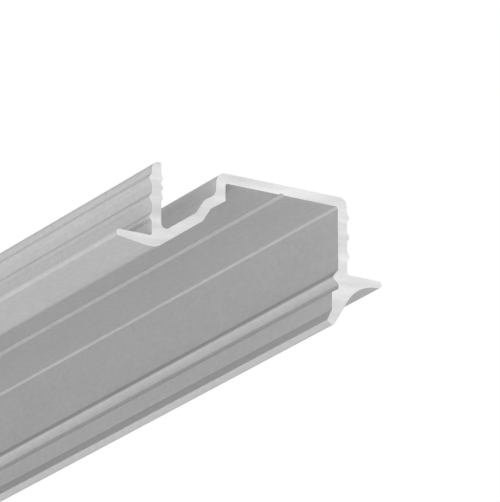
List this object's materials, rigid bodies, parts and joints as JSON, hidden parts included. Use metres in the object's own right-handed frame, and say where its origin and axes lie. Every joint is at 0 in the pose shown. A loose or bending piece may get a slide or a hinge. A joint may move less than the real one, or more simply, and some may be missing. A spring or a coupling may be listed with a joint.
{
  "type": "led strip aluminium profile",
  "caption": "Recessed extruded aluminium channel for a self-adhesive light strip, with side flanges, a stepped reflector web, gripping ribs and a cover groove, sawn square.",
  "frame": {"origin": "middle of the bar's length and of its width between the side walls, in the seating plane of the flanges", "axes": "+Y along the bar, +X towards the wall with the cover groove, +Z into the slot, away from the opening"},
  "size_m": [0.0294, 0.5, 0.013],
  "materials": {
    "anodised_aluminium": "satin silver anodised"
  },
  "bodies": {
    "root": {"profile": "anodised_aluminium"}
  },
  "joints": []
}
